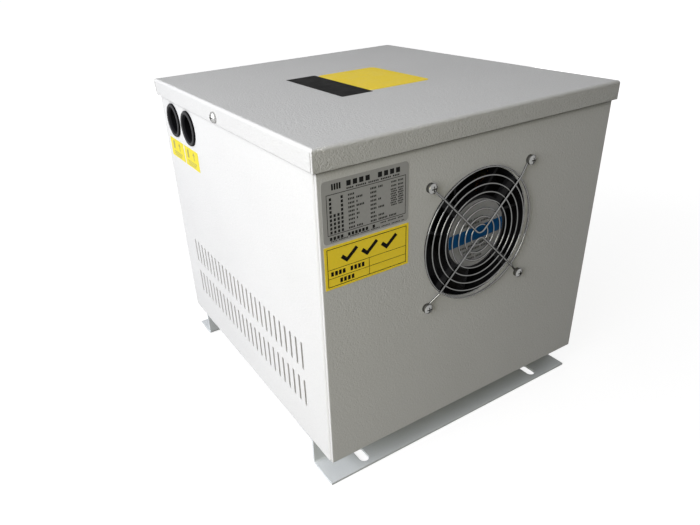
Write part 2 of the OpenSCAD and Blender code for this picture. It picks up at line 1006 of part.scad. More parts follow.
// Lower yoke and the three limbs, laminated along X
module core_limbs() {
    color(lamination)
        difference() {
            translate([core_x, 0, core_z])
                rotate([90, 0, 90])
                    linear_extrude(stack_t, center = true) {
                        translate([-core_w / 2, 0])
                            square([core_w, limb_w]);
                        for (y = phase_y)
                            translate([y - limb_w / 2, 0])
                                square([limb_w, yoke_z - core_z]);
                    }
            yoke_bolt_holes();
        }
}

module core_yoke() {
    color(lamination)
        difference() {
            translate([core_x - stack_t / 2, -core_w / 2, yoke_z])
                cube([stack_t, core_w, limb_w]);
            yoke_bolt_holes();
        }
}

// Angle along Y: upright leg on the yoke at x = 0, other leg towards +X or -X
module clamp_angle(upright, leg, leg_z) {
    translate([0, -core_w / 2, 0])
        cube([clamp_t, core_w, upright]);
    translate([leg < 0 ? clamp_t + leg : 0, -core_w / 2, leg_z])
        cube([abs(leg), core_w, clamp_t]);
}

module clamp_lower() {
    difference() {
        translate([clamp_x, 0, floor_z])
            clamp_angle(core_lift + clamp_h, clamp_foot_w, 0);
        translate([-core_x, 0, 0])
            yoke_bolt_holes();
        translate([-core_x, 0, floor_z - eps])
            at_core_bolts()
                cylinder(h = clamp_t + 2 * eps, d = m8[0] + 2 * hole_clear);
    }
}

module clamp_upper() {
    difference() {
        translate([clamp_x, 0, core_top_z - clamp_h])
            clamp_angle(clamp_h + clamp_t, -clamp_top_w, clamp_h);
        translate([-core_x, 0, 0])
            yoke_bolt_holes();
        translate([-core_x, 0, core_top_z - eps])
            at_board_screws()
                cylinder(h = clamp_t + 2 * eps, d = m5[0]);
    }
}

module at_core_side(side) {
    translate([core_x, 0, 0])
        mirror([side < 0 ? 1 : 0, 0, 0])
            children();
}

module clamp_lower_front() { color(paint) at_core_side(1) clamp_lower(); }
module clamp_lower_rear() { color(paint) at_core_side(-1) clamp_lower(); }
module clamp_upper_front() { color(paint) at_core_side(1) clamp_upper(); }
module clamp_upper_rear() { color(paint) at_core_side(-1) clamp_upper(); }

module yoke_bolts() {
    color(plated)
        at_yoke_bolts(clamp_x + clamp_t)
            hex_bolt(m8, stack_t + 2 * clamp_t + m8[4] + thread_past);
}

module yoke_nuts() {
    color(plated)
        at_yoke_bolts(-clamp_x - clamp_t - m8[4])
            hex_nut(m8);
}

module core_bolts() {
    color(plated)
        translate([0, 0, floor_z + clamp_t])
            at_core_bolts()
                hex_bolt(m8, clamp_t + sheet_t + m8[4] + thread_past);
}

module core_nuts() {
    color(plated)
        translate([0, 0, base_z - m8[4]])
            at_core_bolts()
                hex_nut(m8);
}

// Windings

// Layer round a limb, from one distance to another outside the coil former's opening
module coil_layer(y, z, h, from, to) {
    translate([core_x, y, z])
        linear_extrude(h)
            difference() {
                coil_outline(to);
                coil_outline(from);
            }
}

// Outline of a layer: sharp on the coil former, rounder the further out
module coil_outline(out) {
    round_rect(former_in_x + 2 * out, former_in_y + 2 * out, max(out - former_t, 0));
}

module lead_holes(y) {
    for (side = [-1, 1]) {
        translate([core_x + start_x(side), y - lead_off, winding_top - eps])
            cylinder(h = former_t + 2 * eps, d = lead_d + 2 * hole_clear);
        translate([core_x + finish_x(side), y + lead_off, winding_top - eps])
            cylinder(h = former_t + 2 * eps, d = lead_d + 2 * hole_clear);
    }
}

module former(phase) {
    y = phase_y[phase];
    color(former_colour)
        difference() {
            union() {
                coil_layer(y, former_z, former_h, 0, former_t);
                for (z = [former_z, winding_top])
                    coil_layer(y, z, former_t, 0, coil_out);
            }
            lead_holes(y);
        }
}

module secondary(phase) {
    color(copper)
        coil_layer(phase_y[phase], winding_z, winding_h, secondary_in, barrier_in);
}

module barrier(phase) {
    color(former_colour)
        coil_layer(phase_y[phase], winding_z, winding_h, barrier_in, primary_in);
}

module primary(phase) {
    color(copper)
        coil_layer(phase_y[phase], winding_z, winding_h, primary_in, coil_out);
}

// Terminals

module board(side) {
    out_x = abs(bar_x(side)) + board_margin;
    color(board_colour)
        difference() {
            at_core_side(side)
                translate([board_in_x, -board_w / 2, board_z])
                    cube([out_x - board_in_x, board_w, board_t]);
            translate([0, 0, board_z - eps]) {
                at_studs(side)
                    cylinder(h = board_t + 2 * eps, d = stud_d);
                at_board_screws()
                    cylinder(h = board_t + 2 * eps, d = m5[0] + 2 * hole_clear);
            }
        }
}

module secondary_board() { board(1); }
module primary_board() { board(-1); }

module board_spacers() {
    color(former_colour)
        translate([0, 0, clamp_top_z])
            at_board_screws()
                difference() {
                    cylinder(h = spacer_h, d = 2 * m5[0]);
                    translate([0, 0, -eps])
                        cylinder(h = spacer_h + 2 * eps, d = m5[0] + 2 * hole_clear);
                }
}

module board_screws() {
    color(plated)
        translate([0, 0, board_top_z])
            at_board_screws()
                pan_screw(m5, board_t + spacer_h + clamp_t);
}

module terminal_studs() {
    color(brass)
        translate([0, 0, board_z - stud_down])
            for (side = [-1, 1])
                at_studs(side)
                    cylinder(h = stud_down + board_t + stud_up, d = stud_d);
}

module terminal_nuts() {
    color(brass)
        for (side = [-1, 1], z = [board_z - m6[4], board_top_z])
            translate([0, 0, z])
                at_studs(side)
                    hex_nut([stud_d, 0, 0, m6[3], m6[4]]);
}

// Copper bar over the three finishing leads, clear of the starting leads
module star_bar(side) {
    bar_l = 2 * limb_pitch + 2 * lead_d;
    color(copper)
        translate([core_x + bar_x(side), lead_off, star_bar_z + star_bar_h / 2])
            cube([star_bar_w, bar_l, star_bar_h], center = true);
}

module secondary_star_bar() { star_bar(1); }
module primary_star_bar() { star_bar(-1); }

module upright_lead(x, y, from_z, to_z) {
    translate([core_x + x, y, from_z])
        cylinder(h = to_z - from_z, d = lead_d);
}

module winding_leads(side) {
    stud_z = board_z - stud_down;
    color(copper) {
        for (y = phase_y) {
            upright_lead(start_x(side), y - lead_off, winding_top, stud_z);
            upright_lead(finish_x(side), y + lead_off, winding_top, star_bar_z);
        }
        upright_lead(bar_x(side), neutral_y, star_bar_z + star_bar_h, stud_z);
    }
}

module secondary_leads() { winding_leads(1); }
module primary_leads() { winding_leads(-1); }

base_plate();
left_panel();
right_panel();
front_panel();
rear_panel();
top_cover();
cover_screws();
cover_nuts();
foot_rail_front();
foot_rail_rear();
rail_bolts();
rail_nuts();
grommet_rear();
grommet_front();
earth_stud();
earth_nut();
fan_frame();
fan_stator();
fan_bearings();
fan_shaft();
fan_rotor_ring();
fan_impeller();
guard_rings();
guard_wires();
fan_screws();
fan_nuts();
fan_lead();
core_limbs();
core_yoke();
former(0);  // former_u
former(1);  // former_v
former(2);  // former_w
secondary(0);  // secondary_u
secondary(1);  // secondary_v
secondary(2);  // secondary_w
barrier(0);  // barrier_u
barrier(1);  // barrier_v
barrier(2);  // barrier_w
primary(0);  // primary_u
primary(1);  // primary_v
primary(2);  // primary_w
clamp_lower_front();
clamp_lower_rear();
clamp_upper_front();
clamp_upper_rear();
yoke_bolts();
yoke_nuts();
core_bolts();
core_nuts();
secondary_board();
primary_board();
board_spacers();
board_screws();
terminal_studs();
terminal_nuts();
secondary_star_bar();
primary_star_bar();
secondary_leads();
primary_leads();
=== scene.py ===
"""Looks of the enclosed transformer: finishes of the CAD nodes, stickers, floor, light and camera.

Scene units are metres. Values in millimetres are multiplied by MM. Colours are linear RGB.
"""

import json
import math

import bmesh
import bpy
from mathutils import Matrix, Quaternion, Vector


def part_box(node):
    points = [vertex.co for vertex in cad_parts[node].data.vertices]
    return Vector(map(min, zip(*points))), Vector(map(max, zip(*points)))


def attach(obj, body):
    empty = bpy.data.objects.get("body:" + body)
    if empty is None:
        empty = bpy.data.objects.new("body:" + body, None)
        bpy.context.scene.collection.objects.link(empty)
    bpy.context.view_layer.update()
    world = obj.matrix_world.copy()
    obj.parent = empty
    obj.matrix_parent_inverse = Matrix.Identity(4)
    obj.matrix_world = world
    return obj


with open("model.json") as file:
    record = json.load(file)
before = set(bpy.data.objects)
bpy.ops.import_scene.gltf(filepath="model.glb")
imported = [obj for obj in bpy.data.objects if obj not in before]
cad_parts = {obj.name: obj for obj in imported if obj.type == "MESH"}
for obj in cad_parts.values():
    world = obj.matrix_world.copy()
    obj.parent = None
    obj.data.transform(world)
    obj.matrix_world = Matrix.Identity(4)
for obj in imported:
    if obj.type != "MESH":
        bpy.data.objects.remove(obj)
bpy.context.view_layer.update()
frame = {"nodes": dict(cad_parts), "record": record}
scene = bpy.context.scene
MM = 0.001


# Materials

class Shader:
    """A node material with a Principled shader and helpers for procedural variation."""

    MIX_A, MIX_B, MIX_OUT = 6, 7, 2  # the Mix node's colour sockets, by number as their names repeat

    def __init__(self, name, metallic=0.0, specular=0.5):
        self.mat = bpy.data.materials.new(name)
        self.mat.use_nodes = True
        self.tree = self.mat.node_tree
        self.bsdf = self.tree.nodes["Principled BSDF"]
        self.bsdf.inputs["Metallic"].default_value = metallic
        self.bsdf.inputs["Specular IOR Level"].default_value = specular
        self.coords = self.tree.nodes.new("ShaderNodeTexCoord").outputs["Object"]

    def node(self, kind, **settings):
        n = self.tree.nodes.new(kind)
        for key, value in settings.items():
            setattr(n, key, value)
        return n

    def link(self, a, b):
        self.tree.links.new(a, b)

    def noise(self, size_mm, detail=3.0, distortion=0.0):
        n = self.node("ShaderNodeTexNoise")
        n.inputs["Scale"].default_value = 1.0 / (size_mm * MM)
        n.inputs["Detail"].default_value = detail
        n.inputs["Distortion"].default_value = distortion
        self.link(self.coords, n.inputs["Vector"])
        return n.outputs["Fac"]

    def remap(self, value, low, high, out_low=0.0, out_high=1.0):
        """Stretch low..high to out_low..out_high, and clamp."""
        n = self.node("ShaderNodeMapRange")
        limits = {"From Min": low, "From Max": high, "To Min": out_low, "To Max": out_high}
        for socket, limit in limits.items():
            n.inputs[socket].default_value = limit
        self.link(value, n.inputs["Value"])
        return n.outputs["Result"]

    def spread(self, noise, out_low=0.0, out_high=1.0):
        """Stretch the middle of a noise, where most of its values lie, to a range."""
        return self.remap(noise, 0.3, 0.7, out_low, out_high)

    def math(self, operation, a, b):
        n = self.node("ShaderNodeMath", operation=operation)
        for socket, value in ((n.inputs[0], a), (n.inputs[1], b)):
            if isinstance(value, (int, float)):
                socket.default_value = value
            else:
                self.link(value, socket)
        return n.outputs[0]

    def crevice(self, reach_mm):
        """1 on open surfaces, falling where another piece stands close."""
        open_share = []
        for own_piece_only in (False, True):
            n = self.node("ShaderNodeAmbientOcclusion", samples=8, only_local=own_piece_only)
            n.inputs["Distance"].default_value = reach_mm * MM
            open_share.append(n.outputs["AO"])
        return self.math("ADD", self.math("SUBTRACT", *open_share), 1.0)

    def along(self, axis):
        """Coordinate along an axis of the frame, in metres."""
        n = self.node("ShaderNodeSeparateXYZ")
        self.link(self.coords, n.inputs[0])
        return n.outputs[axis]

    def facing(self, axis):
        """How far a face looks along an axis of the frame, from -1 to 1."""
        n = self.node("ShaderNodeSeparateXYZ")
        self.link(self.node("ShaderNodeNewGeometry").outputs["True Normal"], n.inputs[0])
        return n.outputs[axis]

    def near(self, point, reach_mm):
        """1 at a point of the object, falling to 0 at a distance."""
        n = self.node("ShaderNodeVectorMath", operation="DISTANCE")
        n.inputs[1].default_value = point
        self.link(self.coords, n.inputs[0])
        return self.remap(n.outputs["Value"], 0.0, reach_mm * MM, 1.0, 0.0)

    def mix(self, factor, a, b):
        """Colour a at factor 0, colour b at factor 1."""
        n = self.node("ShaderNodeMix", data_type="RGBA")
        if isinstance(factor, (int, float)):
            n.inputs["Factor"].default_value = factor
        else:
            self.link(factor, n.inputs["Factor"])
        for socket, value in ((n.inputs[self.MIX_A], a), (n.inputs[self.MIX_B], b)):
            if isinstance(value, tuple):
                socket.default_value = (*value, 1.0)
            else:
                self.link(value, socket)
        return n.outputs[self.MIX_OUT]

    def colour(self, value):
        self.link(value, self.bsdf.inputs["Base Color"])

    def rough(self, value):
        self.link(value, self.bsdf.inputs["Roughness"])

    def soft_edges(self, radius_mm, lean):
        """Normal with rounded edges. A lean turns upright faces down by that slope."""
        edge = self.node("ShaderNodeBevel", samples=6)
        edge.inputs["Radius"].default_value = radius_mm * MM
        down = self.node("ShaderNodeVectorMath", operation="ADD")
        down.inputs[1].default_value = (0.0, 0.0, -lean)
        self.link(edge.outputs["Normal"], down.inputs[0])
        unit = self.node("ShaderNodeVectorMath", operation="NORMALIZE")
        self.link(down.outputs["Vector"], unit.inputs[0])
        return unit.outputs["Vector"]

    def bump(self, height, depth_mm, strength=1.0, normal=None):
        """Relief from a height, over the surface's own normal or one that is given."""
        n = self.node("ShaderNodeBump")
        if normal is not None:
            self.link(normal, n.inputs["Normal"])
        n.inputs["Strength"].default_value = strength
        n.inputs["Distance"].default_value = depth_mm * MM
        self.link(height, n.inputs["Height"])
        self.link(n.outputs["Normal"], self.bsdf.inputs["Normal"])


PIT_GREY = (0.25, 0.25, 0.24)
# near black for the painted shade under the cover's rim
PAINTED_SHADE = (0.02, 0.02, 0.02)
SCUFFED = (0.93, 0.93, 0.92)
DUST = (0.33, 0.32, 0.31)


def shade(rgb, k):
    """A colour times k, kept below white."""
    return tuple(min(1.0, c * k) for c in rgb)


def powder_coat(name, rgb, depth_mm=0.34, rim_shade_z=None, rim_shade=0.4, scuff=None, lean=0.0, rim_depth=1.0):
    """Textured powder coat: orange peel, cloudiness, specks and soft edges.

    Close under the height given for it, where another piece stands close, the coat is painted towards near
    black at the strength given, as painted shade under the cover's rim. Scuffs lie round a point. A rim
    that is folded a little past square leans in its shading, and its peel is rim_depth times as deep as on
    faces that look up."""
    s = Shader(name, specular=0.08)
    fine = s.spread(s.noise(size_mm=1.1, detail=2.0))
    cloud = s.remap(s.noise(size_mm=140, detail=2.0), 0.35, 0.65)
    base = s.mix(cloud, shade(rgb, 0.985), shade(rgb, 1.015))
    base = s.mix(fine, base, s.mix(0.05, base, PIT_GREY))
    speck = s.remap(s.noise(size_mm=3.1, detail=1.0), 0.76, 0.80, 0.0, 0.25)
    base = s.mix(speck, base, shade(rgb, 0.72))
    # painted shade: the coat darkens towards near black close under the cover's rim, a painted shadow where
    # another piece stands close
    if rim_shade_z:
        close = s.remap(s.crevice(reach_mm=4.5), 0.6, 0.94, rim_shade, 0.0)
        fade_from, fade_to = rim_shade_z - 10 * MM, rim_shade_z - 5 * MM
        under_rim = s.remap(s.along("Z"), fade_from, fade_to)
        base = s.mix(s.math("MULTIPLY", close, under_rim), base, PAINTED_SHADE)
    if scuff:
        handled = s.math("MULTIPLY", s.near(scuff, reach_mm=9), 0.27)
        worn = s.math("ADD", s.noise(size_mm=1.6), handled)
        base = s.mix(s.remap(worn, 0.78, 0.82), base, SCUFFED)
    s.colour(base)
    s.rough(s.remap(fine, 0.0, 1.0, 0.5, 0.65))
    peel = s.noise(size_mm=1.75, distortion=0.65)
    relief = s.math("ADD", peel, s.math("MULTIPLY", fine, 0.12))
    if rim_depth != 1.0:
        relief = s.math("MULTIPLY", relief, s.remap(s.facing("Z"), 0.3, 0.7, rim_depth, 1.0))
    s.bump(relief, depth_mm, normal=s.soft_edges(0.9, lean))
    return s.mat


def plated(name, rgb, roughness, edge=1.0):
    """Bright plated metal with fine streaks and small stains; an edge below 1 darkens grazing angles.

    The roughness is its range, from the smoothest streaks to the dullest."""
    s = Shader(name, metallic=1.0)
    s.bsdf.inputs["Specular Tint"].default_value = (edge, edge, edge, 1)
    streak = s.noise(size_mm=1.5, detail=4.0)
    stain = s.remap(s.noise(size_mm=9), 0.45, 0.7, 0.0, 0.5)
    s.colour(s.mix(stain, rgb, shade(rgb, 0.72)))
    s.rough(s.spread(streak, *roughness))
    s.bump(streak, depth_mm=0.01, strength=0.3)
    return s.mat


def moulded(name, rgb, roughness, grain_mm, depth_mm, dust=0.1, specular=0.5, lip=None):
    """Dark paint, rubber or board with a fine grain and a little dust.

    A lip is the y of its outer face and the lighter colour there, a painted highlight; behind the lip the
    bore keeps the darker colour as painted shade."""
    s = Shader(name, specular=specular)
    grain = s.noise(grain_mm)
    haze = s.remap(s.noise(size_mm=12, detail=4.0), 0.45, 0.75, 0.0, dust)
    base = rgb
    # painted highlight on the lip, painted shade in the bore behind it
    if lip:
        lip_y, lip_highlight_rgb = lip
        bore_shade = s.remap(s.along("Y"), lip_y + 0.3 * MM, lip_y + 1.0 * MM)
        base = s.mix(bore_shade, lip_highlight_rgb, rgb)
    s.colour(s.mix(haze, base, DUST))
    s.rough(s.spread(grain, roughness - 0.07, roughness + 0.1))
    s.bump(grain, depth_mm, strength=0.4)
    return s.mat


def layered(name, rgb, dark, axis, pitch_mm, roughness, metallic=0.0, depth_mm=0.1):
    """Stacked sheets or wound wire: fine bands along one axis."""
    s = Shader(name, metallic=metallic)
    w = s.node("ShaderNodeTexWave", bands_direction=axis)
    bands_at_scale_1 = 20.0 / (2 * math.pi)  # in each metre, by the Wave node's own formula
    w.inputs["Scale"].default_value = 1.0 / (bands_at_scale_1 * pitch_mm * MM)
    w.inputs["Distortion"].default_value = 0.4
    s.link(s.coords, w.inputs["Vector"])
    bands = w.outputs["Fac"]
    patch = s.spread(s.noise(size_mm=18), 0.0, 0.35)
    s.colour(s.mix(patch, s.mix(bands, dark, rgb), dark))
    s.rough(s.remap(bands, 0.0, 1.0, roughness + 0.1, roughness))
    s.bump(bands, depth_mm, strength=0.6)
    return s.mat


def printed(name, rgb, roughness=0.45, fleck=0.05, specular=0.25):
    """Ink or vinyl: a slight mottle and uneven gloss."""
    s = Shader(name, specular=specular)
    mottle = s.spread(s.noise(size_mm=2.3))
    s.colour(s.mix(mottle, shade(rgb, 1 - fleck), shade(rgb, 1 + fleck)))
    s.rough(s.spread(s.noise(size_mm=11, detail=2.0), roughness - 0.06, roughness + 0.06))
    s.bump(s.noise(size_mm=6, detail=2.0), depth_mm=0.02, strength=0.2)
    return s.mat


# Places on the case, from the frame
front_low, front_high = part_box("front_panel")
left_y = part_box("left_panel")[0].y
cover_low, cover_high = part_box("top_cover")
cover_middle = (cover_low + cover_high) / 2
fan_low, fan_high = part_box("fan_frame")
fan_middle = (fan_low + fan_high) / 2
grommet_face_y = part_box("grommet_front")[0].y
scuffed_corner = (cover_high.x, cover_low.y + 8 * MM, cover_high.z)
case_middle = Vector((cover_middle.x, cover_middle.y, cover_middle.z / 2))

PAINT = (0.62, 0.622, 0.614)
BLACK = (0.006, 0.006, 0.007)
# the panel coats carry painted shade under the cover's rim; on the front panel it is darker, as painted
# shadow where the rim blocks the light
COAT = powder_coat("coat_grey", PAINT, rim_shade_z=cover_low.z)
FRONT_COAT = powder_coat("coat_front", PAINT, rim_shade_z=cover_low.z, rim_shade=0.95)
COVER = powder_coat("coat_cover", PAINT, depth_mm=0.37, scuff=scuffed_corner, lean=0.13, rim_depth=1.8)
RAIL = powder_coat("rail_grey", (0.65, 0.68, 0.695), depth_mm=0.08)
CHROME = plated("guard_chrome", (0.19, 0.19, 0.186), roughness=(0.05, 0.12), edge=0.0)
ZINC = plated("zinc", (0.33, 0.33, 0.323), roughness=(0.13, 0.26), edge=0.0)
SCREW = plated("zinc_bright", (0.5, 0.5, 0.49), roughness=(0.2, 0.34), edge=0.5)
BAR = plated("copper_bar", (0.72, 0.38, 0.22), roughness=(0.28, 0.45))
BRASS = plated("brass", (0.76, 0.60, 0.28), roughness=(0.22, 0.38))
CASTING = moulded("fan_black", BLACK, roughness=0.6, grain_mm=0.9, depth_mm=0.05,
                  dust=0.01, specular=0.12)
IMPELLER = moulded("blade_black", BLACK, roughness=0.55, grain_mm=0.7, depth_mm=0.02,
                   dust=0.01, specular=0.12)
# near-black rubber: the bore behind the lip is painted darker as painted shade, the lip lighter as a
# painted highlight
RUBBER = moulded("grommet_rubber", (0.004, 0.004, 0.005), roughness=0.6, grain_mm=0.5, depth_mm=0.03,
                 dust=0.01, specular=0.04, lip=(grommet_face_y, (0.05, 0.05, 0.051)))
PRESSBOARD = moulded("pressboard", (0.62, 0.52, 0.33), roughness=0.7, grain_mm=1.2, depth_mm=0.08)
STEEL = layered("core_steel", (0.30, 0.32, 0.34), (0.12, 0.13, 0.14), axis="X", pitch_mm=0.5,
                roughness=0.42, metallic=0.7)
WIRE = layered("copper_wire", (0.62, 0.30, 0.13), (0.24, 0.10, 0.04), axis="Z", pitch_mm=2.4,
               roughness=0.34, metallic=0.6, depth_mm=0.3)
LAMINATE = layered("laminate", (0.28, 0.15, 0.07), (0.17, 0.09, 0.04), axis="Z", pitch_mm=1.5,
                   roughness=0.42)

SLOT_LOOKS = {
    "powder_coat": COAT, "rail_paint": RAIL, "plated_steel": ZINC, "guard_chrome": CHROME,
    "fan_casting": CASTING, "impeller_plastic": IMPELLER, "black_rubber": RUBBER,
    "lamination": STEEL, "copper": WIRE, "brass": BRASS, "insulation": PRESSBOARD, "board": LAMINATE,
}
NODE_LOOKS = {
    "front_panel": FRONT_COAT, "top_cover": COVER, "cover_screws": SCREW, "secondary_leads": BAR,
    "primary_leads": BAR, "secondary_star_bar": BAR, "primary_star_bar": BAR,
}
for part in frame["record"]["subparts"]:
    mesh = frame["nodes"][part["node"]].data
    mesh.materials.clear()
    mesh.materials.append(NODE_LOOKS.get(part["node"], SLOT_LOOKS[part["material_slot"]]))

SILVER = printed("label_silver", (0.345, 0.345, 0.34), roughness=0.4, fleck=0.03)
YELLOW = printed("label_yellow", (0.95, 0.71, 0.035), roughness=0.5, fleck=0.03, specular=0.05)
BRIGHT = printed("label_bright", (0.98, 0.735, 0.03), roughness=0.45, fleck=0.02, specular=0.3)
LEMON = printed("label_lemon", (0.66, 0.57, 0.05), roughness=0.5, fleck=0.03, specular=0.03)
INK = printed("ink_black", (0.008, 0.008, 0.008), roughness=0.7, specular=0.03)
FAINT_INK = printed("ink_faint", (0.33, 0.29, 0.08), roughness=0.6)
PLATE_INK = printed("plate_ink", (0.012, 0.012, 0.012), roughness=0.6, specular=0.05)
FOIL = printed("hub_foil", (0.33, 0.33, 0.34), roughness=0.3)
BLUE = printed("hub_blue", (0.003, 0.085, 0.26), roughness=0.5, specular=0.05)


# Stickers: flat outlines in millimetres from an origin on a face of the case

STICKER_T = 0.2  # height of a sticker's face above the panel
PRINT_T = 0.24  # height of its print
STROKE_SHARE = 0.68  # of the pitch of a line of print


def rounded(u0, v0, u1, v1, r=0.0, steps=6):
    """Rectangle, with round corners where a radius is given."""
    if r <= 0:
        return [(u0, v0), (u1, v0), (u1, v1), (u0, v1)]
    corners = ((u1 - r, v0 + r, -90), (u1 - r, v1 - r, 0), (u0 + r, v1 - r, 90), (u0 + r, v0 + r, 180))
    pts = []
    for cu, cv, start in corners:
        pts += [(cu + a, cv + b) for a, b in arc(r, start, start + 90, steps)]
    return pts


def arc(r, start, end, steps):
    """Points of an arc round the origin, between two angles in degrees."""
    angles = [math.radians(start + (end - start) * i / steps) for i in range(steps + 1)]
    return [(r * math.cos(a), r * math.sin(a)) for a in angles]


def strokes(u0, u1, pitch):
    """Where the strokes of a line of print begin, with a gap after every few."""
    return [u0 + pitch * k for k in range(int((u1 - u0) / pitch)) if k * 3 % 7 != 5]


class Sticker:
    """Flat sticker on a face, with its print as thin raised faces."""

    def __init__(self, name, origin, u, v):
        self.name = name
        self.bm = bmesh.new()
        self.mats = []
        u, v = Vector(u), Vector(v)
        self.place = Matrix.Translation(origin) @ Matrix((u, v, u.cross(v))).transposed().to_4x4()

    def index(self, mat):
        if mat not in self.mats:
            self.mats.append(mat)
        return self.mats.index(mat)

    def fill(self, pts, mat, height=PRINT_T):
        top = [self.bm.verts.new((a, b, height)) for a, b in pts]
        self.bm.faces.new(top).material_index = self.index(mat)
        return top

    def base(self, pts, mat):
        """The sticker itself: its face and its edges down to the panel."""
        top = self.fill(pts, mat, STICKER_T)
        low = [self.bm.verts.new((a, b, 0.0)) for a, b in pts]
        for k in range(len(pts)):
            j = (k + 1) % len(pts)
            self.bm.faces.new((low[k], low[j], top[j], top[k])).material_index = self.index(mat)

    def bar(self, u0, v0, u1, v1, mat):
        self.fill(rounded(u0, v0, u1, v1), mat)

    def border(self, u0, v0, u1, v1, w, mat):
        self.bar(u0, v0, u1, v0 + w, mat)
        self.bar(u0, v1 - w, u1, v1, mat)
        self.bar(u0, v0 + w, u0 + w, v1 - w, mat)
        self.bar(u1 - w, v0 + w, u1, v1 - w, mat)

    def dashes(self, u0, u1, v, height, pitch, mat):
        """A line of print too small to read, round the height v."""
        for u in strokes(u0, u1, pitch):
            self.bar(u, v - height / 2, u + pitch * STROKE_SHARE, v + height / 2, mat)

    def done(self):
        for vert in self.bm.verts:
            vert.co = self.place @ (vert.co * MM)
        mesh = bpy.data.meshes.new(self.name)
        self.bm.to_mesh(mesh)
        self.bm.free()
        for mat in self.mats:
            mesh.materials.append(mat)
        obj = bpy.data.objects.new(self.name, mesh)
        scene.collection.objects.link(obj)
        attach(obj, "enclosure")


PLATE_W, PLATE_H = 73.0, 45.6
PLATE_INSET, PLATE_DROP = 3.2, 8.0  # from the panel's near edge, and under the cover's rim
CHECK_W, CHECK_H = 74.0, 34.2
CHECK_INSET = 2.9
LABEL_GAP = 2.0  # between the plate and the sticker under it
TAG_H, TAG_DROP = 20.0, 42.0  # height of a cable sticker, and its top under the cover's rim


def on_front(inset, drop):
    """Origin at a label's lower corner: in from the panel's near edge, and down from the cover's rim."""
    corner = Vector((front_high.x, front_low.y + inset * MM, cover_low.z - drop * MM))
    return dict(origin=corner, u=(0, 1, 0), v=(0, 0, 1))


def rating_plate():
    """Silver plate with a ruled frame and rows of print too small to read."""
    plate = Sticker("rating_plate", **on_front(PLATE_INSET, PLATE_DROP + PLATE_H))
    plate.base(rounded(0, 0, PLATE_W, PLATE_H, r=3.0), SILVER)
    plate.border(3.5, 6.1, 70.5, 36.1, w=0.45, mat=PLATE_INK)

    # heading
    plate.dashes(8, 16, v=41.0, height=4.4, pitch=2.0, mat=PLATE_INK)
    plate.dashes(20, 67, v=41.2, height=3.8, pitch=5.2, mat=PLATE_INK)
    plate.dashes(20, 66, v=37.6, height=1.2, pitch=1.5, mat=PLATE_INK)

    # rows: blocks, a name and a value; the upper rows have only their outer blocks
    upper_rows, outer_blocks, all_blocks = 4, (0, 3), (0, 1, 2, 3)
    name_u, value_u = 21.0, 39.5
    name_ends = (28.5, 33.5, 30, 35, 30, 31.5, 29.5, 28, 34)
    value_ends = (51, 45, 47, 49, 45, 52, 44, 52, 63)
    row_v, row_pitch, row_h, stroke_pitch = 32.6, 3.05, 1.5, 1.35
    block_u, block_pitch, block_w, block_h = 5.7, 3.1, 1.8, 2.1
    for k in range(len(name_ends)):
        v = row_v - row_pitch * k
        plate.dashes(name_u, name_ends[k], v, row_h, stroke_pitch, PLATE_INK)
        plate.dashes(value_u, value_ends[k], v, row_h, stroke_pitch, PLATE_INK)
        for column in outer_blocks if k < upper_rows else all_blocks:
            u = block_u + block_pitch * column
            plate.bar(u, v - block_h / 2, u + block_w, v + block_h / 2, PLATE_INK)

    # small print at the right
    for v in (33.4, 30.4):
        plate.dashes(57.5, 68.5, v, height=1.3, pitch=1.2, mat=PLATE_INK)
    field_u, field_end, field_v, field_pitch, stagger = 57.0, 68.8, 27.8, 1.7, 0.6
    for row in range(8):
        u, v = field_u + stagger * (row % 2), field_v - field_pitch * row
        plate.dashes(u, field_end, v, height=1.1, pitch=1.3, mat=PLATE_INK)

    # foot
    plate.dashes(5, 44, v=3.6, height=2.4, pitch=3.0, mat=PLATE_INK)
    plate.dashes(48, 70, v=4.6, height=1.0, pitch=1.3, mat=PLATE_INK)
    plate.dashes(6, 70, v=1.6, height=0.8, pitch=1.3, mat=PLATE_INK)
    plate.done()


def inspection_sticker():
    """Yellow sticker with ruled boxes, three plain ticks and lines of print too small to read."""
    drop = PLATE_DROP + PLATE_H + LABEL_GAP + CHECK_H
    check = Sticker("inspection_sticker", **on_front(CHECK_INSET, drop))
    check.base(rounded(0, 0, CHECK_W, CHECK_H), BRIGHT)

    left, low, right, high = 2.1, 1.9, 71.9, 32.3
    upper_line, lower_line, middle_line, line_w = 15.7, 8.6, 37.7, 0.4
    check.border(left, low, right, high, w=0.55, mat=INK)
    for v in (upper_line, lower_line):
        check.bar(left, v, right, v + line_w, INK)
    check.bar(middle_line, low, middle_line + line_w, upper_line + line_w, INK)

    tick = ((-1.6, 0.0), (8.2, 8.6), (6.2, 10.8), (-1.6, 3.8), (-4.9, 6.8), (-6.9, 4.6))
    tick_v = 18.5
    for middle in (20.3, 37.8, 55.3):
        check.fill([(middle + a, tick_v + b) for a, b in tick], INK)

    stroke_h, stroke_pitch = 3.6, 3.3
    check.dashes(4.9, 35.3, 12.3, stroke_h, stroke_pitch, INK)
    check.dashes(12.3, 28.3, 5.4, stroke_h, stroke_pitch, INK)
    check.done()


